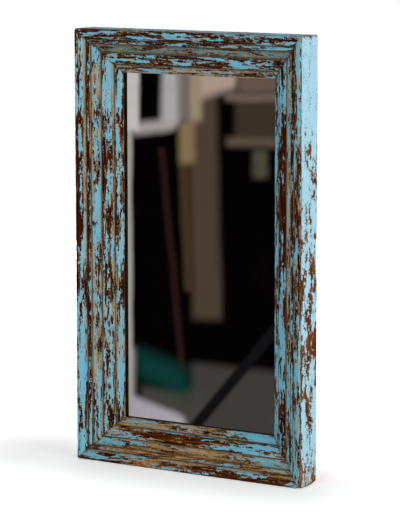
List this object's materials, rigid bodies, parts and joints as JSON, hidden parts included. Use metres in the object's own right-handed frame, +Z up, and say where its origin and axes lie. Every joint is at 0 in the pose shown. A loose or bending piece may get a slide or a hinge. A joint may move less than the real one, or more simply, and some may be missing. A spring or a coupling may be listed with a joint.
{
  "type": "framed wall mirror",
  "caption": "Upright mirror in a wide mitred wooden frame of nested mouldings with flaked turquoise paint, a plywood back and swinging D-ring hangers.",
  "frame": {"origin": "middle of the frame's underside, half way between its front and its back", "axes": "+X to the right seen from the front, +Y from the front to the back, +Z up"},
  "size_m": [0.46, 0.0607, 0.756],
  "materials": {
    "painted_wood": "flaked turquoise paint over brown undercoat and bare wood",
    "beech": "compressed beech",
    "fixing_steel": "bright zinc plate",
    "glass": "clear float glass",
    "silver": "silvered",
    "rubber": "matt black rubber",
    "card": "grey-brown board",
    "plywood": "sanded plywood",
    "hanger_steel": "yellowed zinc plate"
  },
  "bodies": {
    "frame": {"left_stile": "painted_wood", "right_stile": "painted_wood", "top_rail": "painted_wood", "bottom_rail": "painted_wood", "left_inner_moulding": "painted_wood", "right_inner_moulding": "painted_wood", "top_inner_moulding": "painted_wood", "bottom_inner_moulding": "painted_wood", "top_left_biscuits": "beech", "top_right_biscuits": "beech", "bottom_left_biscuits": "beech", "bottom_right_biscuits": "beech", "inner_mitre_nails": "fixing_steel", "inner_moulding_screws": "fixing_steel", "back_panel_screws": "fixing_steel", "mirror_glass": "glass", "silver_coating": "silver", "setting_blocks": "rubber", "location_blocks": "rubber", "wall_bumpers": "rubber", "backing_card": "card", "back_panel": "plywood", "left_hanger_strap": "hanger_steel", "right_hanger_strap": "hanger_steel", "hanger_screws": "hanger_steel"},
    "left_ring": {"left_hanger_ring": "hanger_steel"},
    "right_ring": {"right_hanger_ring": "hanger_steel"}
  },
  "joints": [
    {"name": "left_ring_swing", "type": "hinge", "parent": "frame", "child": "left_ring", "pos_m": [-0.209, 0.03035, 0.586], "axis": [1, 0, 0], "range_deg": [0, 180]},
    {"name": "right_ring_swing", "type": "hinge", "parent": "frame", "child": "right_ring", "pos_m": [0.209, 0.03035, 0.586], "axis": [1, 0, 0], "range_deg": [0, 180]}
  ]
}
